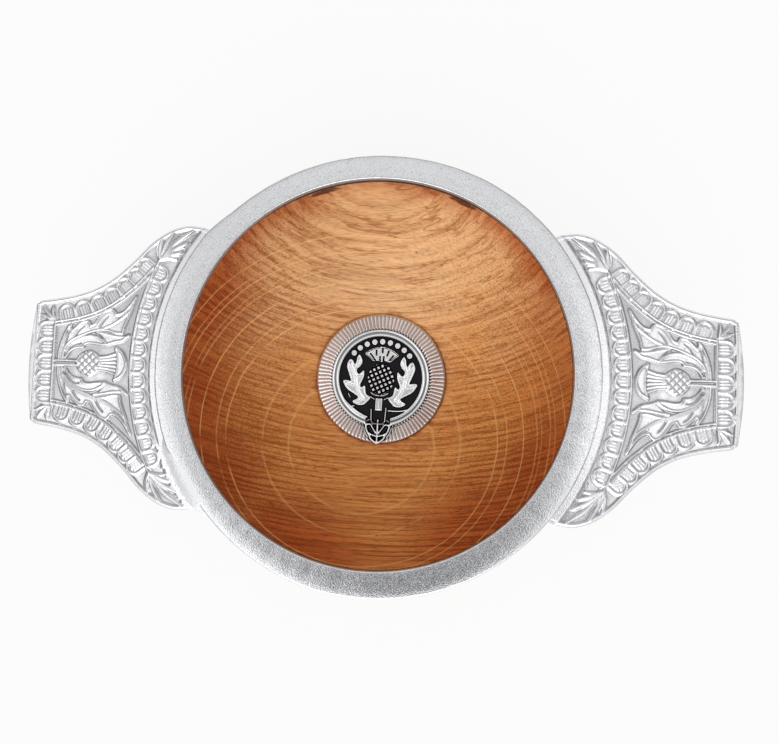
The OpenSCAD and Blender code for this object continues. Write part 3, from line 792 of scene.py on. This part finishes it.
def carveScallop(cut, foot, aim, half, leg, flutes):  # arch with flutes, standing on a foot point
    foot, aim = np.array(foot, float), np.array(aim) / np.hypot(*aim)
    across = np.array((-aim[1], aim[0]))
    turn = np.radians(np.arange(0, 181, 15))[:, None]
    bow = foot + across * half * np.cos(turn) + aim * (leg + half * np.sin(turn))
    line = np.vstack([foot + across * half, bow, foot - across * half])
    cut.body(line, 0.20, 0.5)
    cut.ridge(line, *lug["arch"])
    for k in range(flutes):
        side = (k - (flutes - 1) / 2) * 2.3 / flutes
        rise = leg + math.sqrt(max((half - 0.95) ** 2 - side**2, 0))
        start = foot + across * side
        cut.ridge([start + aim * 0.3, start + aim * rise], *lug["flute"])


def carveBands(cut, side):
    for i in range(lug["rootScallops"]):
        foot = polar(lug["frameR"] - 0.4, 2 * lug["rootHalf"] * ((i + 0.5) / lug["rootScallops"] - 0.5))
        carveScallop(cut, foot, -foot, 1.93, 1.4, 3)
    for middle in np.array(lug["sideScallops"]):
        foot = side[np.argmin(np.hypot(*(side - middle).T))]
        for flip in bothSides:
            carveScallop(cut, foot * flip, (middle - foot) * flip, 1.95, 2.0, 3)
    for y in lug["endScallops"]:
        carveScallop(cut, (lug["frameX"] + 0.85, y), (1, 0), 2.08, 1.35, 3)


def carveFrames(cut, side):
    out = leftOf(side)
    for flip in bothSides:
        cut.ridge(side * flip, *lug["frame"])
        cut.ridge((side - out * 0.85) * flip, *lug["inFrame"])
    span = np.linspace(-lug["rootHalf"] - 0.6, lug["rootHalf"] + 0.6, 60)
    cut.ridge(polar(lug["frameR"] + 0.15, span), *lug["frame"])
    cut.ridge(polar(lug["frameR"] - 0.70, span), *lug["inFrame"])
    cut.ridge([(lug["frameX"], -10.7), (lug["frameX"], 10.7)], 0.45, 0.60)


def carveThistle(cut):
    place, halfX, halfY = lug["globe"]
    around = [(place + halfX, 0.1), (place, halfY + 0.1), (place - halfX, 0.1), (place, 0.1 - halfY)]
    cut.lozenges((place, 0.1), (halfX, halfY), 1.38, 45, 0.06, (0.26, 0.34))
    cut.ridge(closedThrough(around, 12), 0.26, 0.36)
    for k in (-2.5, -1.5, -0.5, 0.5, 1.5, 2.5):  # neck
        cut.ridge([(72.6, 0.66 * k), (70.4, 0.76 * k), (68.2, 1.05 * k)], 0.36, 0.46)
    tuft, foot = curveThrough(lug["tuft"], 5), curveThrough(lug["tuftFoot"], 5)
    cut.body(np.vstack([tuft, foot[1:-1]]), 0.30, 0.6)
    cut.ridge(tuft, 0.36, 0.66)
    cut.ridge(foot, 0.24, 0.52)
    for s in (-1, 1):  # stem
        cut.ridge([(78.2, 0.55 * s), (84.2, 0.62 * s)], 0.40, 0.60)


# leaves on one side of the lug's thistle: lines of their edges, then their veins
leafLines = [
    [(83.4, 0.8), (83.2, 3.5), (82.4, 6.5), (81.3, 9.0), (80.4, 10.2)],
    [(80.4, 10.2), (80.5, 9.2), (80.1, 8.3)],
    [(80.1, 8.3), (79.0, 9.4), (77.5, 10.7), (76.0, 11.0)],
    [(76.0, 11.0), (75.6, 10.4), (75.3, 9.8)],
    [(75.3, 9.8), (74.2, 10.3), (73.0, 12.0), (71.6, 13.7), (70.0, 14.4)],
    [(70.0, 14.4), (69.2, 13.9), (68.6, 13.0)],
    [(68.6, 13.0), (67.0, 13.4), (65.4, 14.8), (63.4, 17.8)],
    [(82.3, 1.0), (81.9, 3.8), (80.2, 5.9), (77.8, 7.2), (75.0, 8.3), (72.0, 9.2), (69.7, 10.2),
     (67.3, 11.8), (65.0, 13.9), (63.4, 17.8)],
    [(64.4, 14.6), (65.3, 12.4), (66.2, 10.0), (66.6, 8.1)],
    [(66.6, 8.1), (68.5, 8.2), (70.5, 8.8), (72.5, 8.9)],
    [(64.8, 7.6), (66.0, 7.2), (68.5, 7.3), (71.0, 7.8), (73.5, 8.2)],
    [(64.8, 7.6), (66.5, 6.3), (68.5, 5.8), (70.4, 5.2)],
    [(70.5, 5.0), (72.0, 6.2), (74.0, 7.0), (76.0, 7.0), (78.0, 6.3), (80.0, 5.2), (81.6, 3.2)],
    [(70.5, 5.0), (72.5, 5.1), (74.8, 5.4), (76.4, 5.1), (77.0, 4.2)],
    [(77.0, 4.2), (78.8, 4.0), (80.3, 3.1), (81.5, 1.4)],
]
leafVeins = [
    [(81.8, 5.0), (81.4, 7.0), (80.9, 8.6)],
    [(79.3, 7.0), (78.2, 8.8), (77.0, 9.8)],
    [(72.8, 9.6), (71.8, 11.3), (70.7, 12.6)],
    [(68.3, 12.0), (66.7, 13.1), (65.0, 15.0)],
    [(77.4, 5.2), (79.0, 5.0), (80.5, 4.0), (81.8, 2.2)],
]


def carveLeaves(cut):
    for flip in bothSides:
        line = [curveThrough(points, 5) * flip for points in leafLines]
        outer = [part[1:] for part in line[1:7]]
        cut.body(np.vstack([line[0]] + outer + [line[7][-2::-1]]), 0.34, 0.8)
        cut.body(np.vstack([line[8], line[9][1:], line[7][25:40]]), 0.30, 0.8)
        cut.body(np.vstack([line[10], line[11][::-1]]), 0.30, 0.6)
        cut.body(np.vstack([line[12], line[14][::-1], line[13][::-1]]), 0.32, 0.6)
        for points in line:
            cut.ridge(points, *lug["leafEdge"])
        for points in leafVeins:
            cut.groove(curveThrough(points, 5) * flip, *lug["leafVein"])


sprays = [  # root of a spray, tips of its leaflets, half width
    ((57.7, 27.5), [(57.3, 33.6), (54.0, 35.3), (48.6, 35.9), (49.5, 32.6), (51.0, 29.9)], 0.95),
    ((57.4, 27.9), [(52.7, 27.9)], 0.50),
    ((85.1, 11.4), [(85.5, 15.0), (88.2, 14.8), (88.6, 12.6)], 0.65),
]


def carveSprays(cut):
    for root, tips, half in sprays:
        for tip in np.array(tips):
            a = np.array(root)
            side = np.array((a[1] - tip[1], tip[0] - a[0]))
            line = curveThrough([a, (a + tip) / 2 - side * 0.07, tip], 6)
            for flip in bothSides:
                cut.ridge(line * flip, half, 0.62, lens=True)
    for flip in bothSides:  # cut beside the strip, in the horns
        cut.groove(polar(lug["stripR"] + 0.55, np.linspace(26, 38.5, 20)) * flip, 0.45, 0.5)


def carveEdges(cut):
    _, end, side = lugEdges()
    radius = np.hypot(cut.x, cut.y)
    cut.raiseTo(slice(None), 0.52 * ease(lug["stripR"] + 0.3, lug["stripR"] - 0.1, radius))
    for flip in bothSides:
        at, gap, _ = cut.track(side * flip, 1.35)
        cut.raiseTo(at, np.interp(gap, *zip(*lug["edge"])))
    cut.ridge(curveThrough(lug["bead"], 6), 0.65, 0.6)
    at, _, _ = cut.track(end, 3.2)
    slope = (cut.x[at] - lug["bevelX"]) / (lugHigh[0] - lug["bevelX"])
    cut.height[at] = np.where(slope > 0, 0.6 - 1.5 * np.clip(slope, 0, 1), cut.height[at])


def carveLug():  # plan, height, and darkness of patina and painted shade of one lug, in the order of the grid
    along, across = lug["grid"]
    v, u = np.meshgrid(np.linspace(-1, 1, across + 1), np.linspace(0, 1, along + 1))
    plan = lugPlan(u.ravel(), v.ravel())
    cut = Carving(plan)
    side = spaced(curveThrough(lug["sideFrame"], 6), np.linspace(0, 1, 60))
    root = polar(lug["frameR"], np.linspace(-lug["rootHalf"], lug["rootHalf"], 30))
    panel = cut.within(np.vstack([side, side[::-1] * (1, -1), root]))
    cut.height += lug["bandZ"]
    cut.height[panel] = 0
    carveFrames(cut, side)
    carveBands(cut, side)
    carveLeaves(cut)
    carveThistle(cut)
    carveSprays(cut)
    carveEdges(cut)
    field = lug["depth"] * blurred(cut.height.reshape(u.shape), 0.75)
    mottle = blurred(np.random.default_rng(11).standard_normal(u.shape), 7).ravel()
    dusk = np.full(len(plan), lug["dusk"][0])
    dusk[panel] = lug["dusk"][1]
    dusk *= 1 + lug["mottle"] * mottle / mottle.std()
    blur, rise, most = lug["nookShade"]
    # painted shade in the nooks beside ridges
    nookShade = np.clip((blurred(field, blur) - field) / rise, 0, most).ravel()
    hollow = np.clip(dusk * ease(0.64, 0.0, field.ravel()) + nookShade, 0, 1.2)
    return plan, field.ravel(), hollow


def makeLug(name, node, finish, carved, flip):
    plan, height, hollow = carved
    along, across = lug["grid"]
    bm = bmesh.new()
    bmesh.ops.create_grid(bm, x_segments=across, y_segments=along, size=1)
    flat = np.round(readPoints(bm), 5)
    order = np.empty(len(flat), int)
    order[np.lexsort((flat[:, 0], flat[:, 1]))] = np.arange(len(flat))
    top = lugTop - lug["relief"] + height[order]
    writePoints(bm, np.column_stack([plan[order], top]), hollow[order])
    bmesh.ops.scale(bm, vec=(flip, 1, 1), verts=bm.verts[:])
    closeBelow(bm, lugUnder)
    finishPiece(bm, name, finish, [node], 85)


# solder that ran over the joint of one lug; its white spread over the rim is partly a painted highlight

run = {
    "from": 196.0, "to": 222.0, "grid": (130, 56),  # bearings, and steps along and across
    "inner": -2.9, "reach": 2.9,  # mm over the rim and over the lug
    "slope": (2.1, -1.0),  # mm from the joint, where it climbs from lug to rim
    "level": 0.62,
}


def runSpread(turn):  # how thick the solder is at a bearing, and how far it spread over rim and lug
    t = (turn - run["from"]) / (run["to"] - run["from"])
    ragged = 0.90 + 0.06 * np.sin(turn * 2.3) + 0.04 * np.sin(turn * 5.1 + 1)
    size = ease(0, 0.24, t) * ease(1, 0.88, t)
    inner = run["inner"] * (0.12 + 0.88 * ease(0.2, 0.55, t)) * (1.8 - ragged)
    return size, inner, run["reach"] * ragged * (0.25 + 0.75 * ease(0.98, 0.75, t))


def filledLug(carved):  # the relief with solder in the hollows beside the joint
    plan, height, hollow = carved
    turn = 180 - np.degrees(np.arctan2(plan[:, 1], plan[:, 0]))
    size, _, reach = runSpread(turn)
    out = np.hypot(plan[:, 0], plan[:, 1]) - rimR
    fill = size * ease(reach + 1.6, reach + 0.5, out)
    return plan, height + fill * np.maximum(run["level"] - height, 0), hollow * (1 - fill)


def makeRun(finish):
    bm = bmesh.new()
    bmesh.ops.create_grid(bm, x_segments=run["grid"][0], y_segments=run["grid"][1], size=1)
    p = readPoints(bm)
    turn = run["from"] + (run["to"] - run["from"]) * (p[:, 0] + 1) / 2
    size, inner, reach = runSpread(turn)
    out = inner + (reach - inner) * (p[:, 1] + 1) / 2
    low, strip = lugTop - 1.2, lugTop - lug["relief"] + run["level"] + 0.03
    height = strip + (rimHigh[2] - 0.02 - strip) * ease(*run["slope"], out)
    height -= 0.2 * ease(reach - 0.7, reach, out)
    writePoints(bm, np.column_stack([polar(rimR + out, turn), low + size * (height - low)]))
    closeBelow(bm, low - 0.1)
    finishPiece(bm, "joint_solder", finish, (), 80)


# roundel: disc with radial reeds

roundel = {"reeds": 100, "innerR": 14.3, "reedH": 0.26, "steps": 1200, "pegL": 4.0}


def makeRoundel(finish):
    r, top = roundelHigh[0], roundelHigh[2] - roundel["reedH"]
    under = roundelLow[2] + roundel["pegL"]
    profile = [(0, top + 0.3), (13.5, top + 0.3)]
    profile += [(each, top) for each in np.linspace(14.0, r - 0.35, 10)]
    profile += [(r - 0.12, top - 0.08), (r, top - 0.25), (r, under), (0, under)]
    bm = spinProfile(profile, roundel["steps"])
    p = readPoints(bm)
    radius, turn = np.hypot(p[:, 0], p[:, 1]), np.arctan2(p[:, 1], p[:, 0])
    wave = np.abs(np.cos(turn * roundel["reeds"] / 2)) ** 0.85
    reach = ease(roundel["innerR"] - 0.3, roundel["innerR"] + 0.2, radius) * ease(r + 0.05, r - 0.5, radius)
    p[:, 2] += roundel["reedH"] * wave * reach * (p[:, 2] > top - 0.2)
    writePoints(bm, p)
    finishPiece(bm, "roundel_reeded", finish, ["roundel"])


# badge: strap-and-buckle ring with a thistle

badge = {
    "turn": -1.5, "grid": (130, 760), "strapIn": 11.95, "strapR": 14.0,
    "ring": [  # radius and height of the strap
        (11.70, 0), (11.82, 0.92), (12.2, 0.95), (12.7, 0.87), (13.2, 0.87),
        (13.5, 0.95), (13.8, 0.92), (13.92, 0.6), (14.0, 0.0),
    ],
    "tail": [(4.15, -13.37), (4.0, -14.6), (3.65, -15.8), (2.9, -17.1), (1.6, -18.1), (0, -18.8)],
    "tailEdge": [
        (3.2, -13.3), (3.3, -14.2), (2.8, -15.5), (2.2, -16.4), (1.9, -17.2), (0.9, -18.1), (0, -18.6),
    ],
    "tailWall": [(2.6, -12.0), (3.6, -13.0), (3.85, -14.4), (3.4, -15.9), (2.6, -17.1)],
    "tailVeins": [
        [(3.2, -13.4), (2.1, -13.3), (1.3, -14.4), (0.5, -15.6)],
        [(2.7, -15.6), (1.6, -16.2), (0.4, -16.6)],
        [(1.8, -12.5), (1.3, -13.0), (0.3, -13.1)],
    ],
    "buckle": [(-10.4, -6.2), (-9.2, -7.5), (-7.2, -9.1), (-5.2, -10.4), (-3.2, -11.3)],
    "pellets": (10.4, 1.05, 12.4),  # distance, radius, step in degrees
    "fillT": 0.4,
}
badgeLeaf = [
    (-6.4, 6.2), (-5.7, 5.1), (-5.6, 4.1), (-6.0, 3.2), (-6.9, 2.3), (-6.9, 1.3), (-6.2, 0.6),
    (-5.5, 1.1), (-4.9, 1.7), (-4.9, 0.2), (-5.3, -1.0), (-5.8, -2.3), (-5.3, -3.2), (-4.4, -2.6),
    (-4.2, -3.8), (-3.8, -5.0), (-2.7, -5.8), (-3.6, -7.0), (-4.6, -7.8), (-6.2, -7.8), (-7.4, -7.1),
    (-6.4, -6.5), (-5.9, -5.7), (-7.3, -4.7), (-9.0, -3.7), (-10.0, -2.5), (-10.4, -1.4), (-9.4, -1.3),
    (-8.2, -1.4), (-8.7, 0.2), (-9.3, 1.8), (-9.6, 3.2), (-9.0, 4.7), (-8.2, 4.4), (-7.6, 3.3),
    (-7.0, 4.2), (-6.8, 5.6),
]
badgeRib = [(-4.3, -6.3), (-5.4, -5.2), (-6.7, -2.6), (-7.2, 0), (-8.2, 2.4), (-8.9, 3.8)]
badgeVeins = [
    [(-6.7, -2.6), (-8.2, -2.3), (-9.7, -1.9)],
    [(-7.2, 0.2), (-6.0, 0.2), (-5.2, 0.9)],
    [(-7.8, 1.6), (-6.8, 3.2), (-6.3, 5.2)],
    [(-5.2, -5.6), (-5.4, -6.8), (-6.8, -7.2)],
]
badgeTuft = [
    (-2.3, 4.8), (-3.6, 5.9), (-4.7, 6.8), (-3.2, 7.9), (-1.5, 8.6), (0, 8.8), (1.6, 8.6),
    (3.2, 7.9), (4.7, 6.7), (3.7, 5.8), (2.5, 4.7), (1.2, 5.0), (0, 4.7), (-1.2, 5.0),
]
tuftSlits = [
    [(-1.6, 8.0), (-1.5, 6.4)], [(2.0, 7.9), (1.5, 6.3)], [(-3.3, 6.9), (-1.8, 5.0)],
    [(3.4, 6.6), (2.2, 5.0)], [(-0.5, 6.2), (-0.4, 4.8)], [(0.6, 6.2), (0.6, 4.8)],
    [(0.2, 8.6), (0.2, 7.2)],
]


def badgeEdge(turn):  # radius of the badge's outline by bearing
    tail = curveThrough(badge["tail"], 8)
    tail = np.vstack([tail, tail[-2::-1] * (-1, 1)])
    bearing = np.degrees(np.arctan2(tail[:, 0], -tail[:, 1]))
    order = np.argsort(bearing)
    off = (turn + 90 + 180) % 360 - 180
    far = np.hypot(tail[order, 0], tail[order, 1])
    return np.interp(off, bearing[order], far, left=badge["strapR"], right=badge["strapR"])


def carveStrap(cut, radius, top):
    gap = np.where(cut.y < -9, ease(2.9, 3.6, np.abs(cut.x)), 1)
    cut.height = top * np.interp(radius, *zip(*badge["ring"])) * gap
    for side, ends in ((-1, (-9.0, -12.0)), (1, (-8.4, -12.2))):  # posts of the buckle
        cut.ridge([(2.1 * side, ends[0]), (1.95 * side, ends[1])], 0.48, 0.95 * top)
    cut.ridge(curveThrough([(2.8, -9.2), (6.4, -9.1), (9.6, -8.1)]), 0.52, 0.9 * top)
    cut.ridge(curveThrough(badge["buckle"]), 0.62, 0.95 * top)
    cut.ridge([(-8.9, -4.9), (-8.3, -6.0)], 0.42, 0.9 * top)
    cut.ridge([(-8.0, -8.6), (-7.0, -8.3)], 0.46, 0.9 * top)
    distance, size, step = badge["pellets"]
    for k in range(-4, 5):
        cut.body(arcPoints(polar(distance, 90 + step * k), size, 0, 345, 24), 0.95 * top, 0.4)


def carveTail(cut, top):
    edge, wall = curveThrough(badge["tailEdge"], 5), curveThrough(badge["tailWall"], 5)
    for s in (-1, 1):
        cut.ridge(edge * (s, 1), 0.72, 0.92 * top)
        for vein in badge["tailVeins"]:
            cut.ridge(curveThrough(vein, 5) * (s, 1), 0.56, 0.88 * top)
        cut.ridge(wall * (s, 1), 0.35, 0.45 * top)
    cut.ridge([(0, -12.0), (0, -18.4)], 0.65, 0.95 * top)


def carveEmblem(cut, top):
    for s in (1, -1):
        leaf = closedThrough(badgeLeaf, 3) * (s, 1)
        cut.ridge(np.vstack([leaf, leaf[:1]]), 0.34, 0.98 * top, False, 0.3)
        cut.body(leaf, 0.98 * top, 0.25)
        cut.groove(curveThrough(badgeRib, 5) * (s, 1), 0.5, 0.10)
        for vein in badgeVeins:
            cut.groove(curveThrough(vein, 5) * (s, 1), 0.4, 0.07)
        cut.ridge(curveThrough([(0.2, -5.1), (1.4, -4.9), (2.5, -4.3)], 5) * (s, 1), 0.42, 0.85 * top)
        cut.ridge(np.array([(1.4, -6.1), (2.6, -5.5)]) * (s, 1), 0.42, 0.85 * top)
    cut.lozenges((0.15, -0.3), (4.05, 4.6), 1.28, 27, 0.16, (0.05 * top, 0.93 * top), 0.35)
    cut.body([(-1.2, -5.6), (1.15, -5.6), (1.15, -9.5), (-1.2, -9.5)], 0.95 * top, 0.35)  # stem
    cut.groove([(0, -5.4), (0, -9.0)], 0.3, 0.15)
    tuft = closedThrough(badgeTuft)
    cut.body(tuft, 0.95 * top, 0.4)
    cut.ridge(np.vstack([tuft, tuft[:1]]), 0.25, 0.7 * top)
    for slit in tuftSlits:
        cut.groove(slit, 0.24, 0.7)


def makeBadge(finish, fillFinish):
    rings, steps = badge["grid"]
    bm = spinProfile([(k / rings, 0) for k in range(rings + 1)], steps)
    p = readPoints(bm)
    turn = np.degrees(np.arctan2(p[:, 1], p[:, 0]))
    radius = np.hypot(p[:, 0], p[:, 1]) * badgeEdge(turn)
    plan = polar(radius, turn)
    cut = Carving(plan)
    top = badgeTop - enamelLow[2]
    carveStrap(cut, radius, top)
    carveTail(cut, top)
    carveEmblem(cut, top)
    height = np.maximum(cut.height, 0)
    turned = polar(radius, turn + badge["turn"])
    band = 0.6 * ease(12.3, 12.6, radius) * ease(13.4, 13.1, radius)
    hollow = np.maximum(np.clip(1.25 - height / (0.4 * top), 0, 1), band)
    writePoints(bm, np.column_stack([turned, enamelLow[2] + height]), hollow)
    bm.normal_update()
    layer = bm.verts.layers.float["hollow"]
    for vert in bm.verts:  # painted shade on the steep sides
        vert[layer] = max(vert[layer], ease(0.94, 0.80, abs(vert.normal.z)))
    closeBelow(bm, roundelHigh[2] - 0.15)
    finishPiece(bm, "badge_cast", finish, ["badge"], 70)
    fill, fillR, fillT = bmesh.new(), badge["strapIn"] + 0.1, badge["fillT"]
    bmesh.ops.create_cone(fill, cap_ends=True, segments=180, radius1=fillR, radius2=fillR, depth=fillT)
    bmesh.ops.translate(fill, vec=(0, 0, enamelHigh[2] - 0.05 - fillT / 2), verts=fill.verts[:])
    finishPiece(fill, "badge_ground", fillFinish, ["badge_enamel"])


bpy.context.scene.view_settings.view_transform = "Standard"
addCamera()
addLight()
addFloor()
print("stage set")

oakWood = oakFinish()
rimPewter = pewterFinish("cast_pewter", grain=0.038, rough=0.14, sandy=0.36, wallR=rimShape["innerR"])
lugPewter = pewterFinish(
    "relief_pewter", grain=0.026, rough=0.19, sandy=0.15,
    tone=(1.12, 1.105, 1.105), dark=(0.58, (0.28, 0.275, 0.275)),
)
# warm tone: partly the metal's colour, partly a painted reflection of the wood round it
roundelPewter = pewterFinish(
    "turned_pewter", grain=0.003, rough=0.20, sandy=0.05,
    # lee: painted shade on the roundel's right side
    tone=(0.90, 0.80, 0.745), lee=(0.73, 0.69, 0.66),
)
badgePewter = pewterFinish(
    "badge_pewter", grain=0.006, rough=0.18, sandy=0.05,
    tone=(1.17, 1.16, 1.13), dark=(0.97, (0.012, 0.012, 0.014)),
)
bedding = beddingFinish()
solder = solderFinish()
enamel = enamelFinish()
print("finishes ready")

makeBowl(oakWood)
makeRim(rimPewter)
carvedLug = carveLug()
makeLug("lug_left_cast", "lug_left", lugPewter, filledLug(carvedLug), -1)
makeLug("lug_right_cast", "lug_right", lugPewter, carvedLug, 1)
makeRun(solder)
makeRoundel(roundelPewter)
makeBadge(badgePewter, enamel)
for name, finish in (("rim_bedding", bedding), ("roundel_bedding", bedding), ("lug_solder", solder)):
    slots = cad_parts[name].data.materials
    slots.clear()
    slots.append(finish)
print("pieces made")
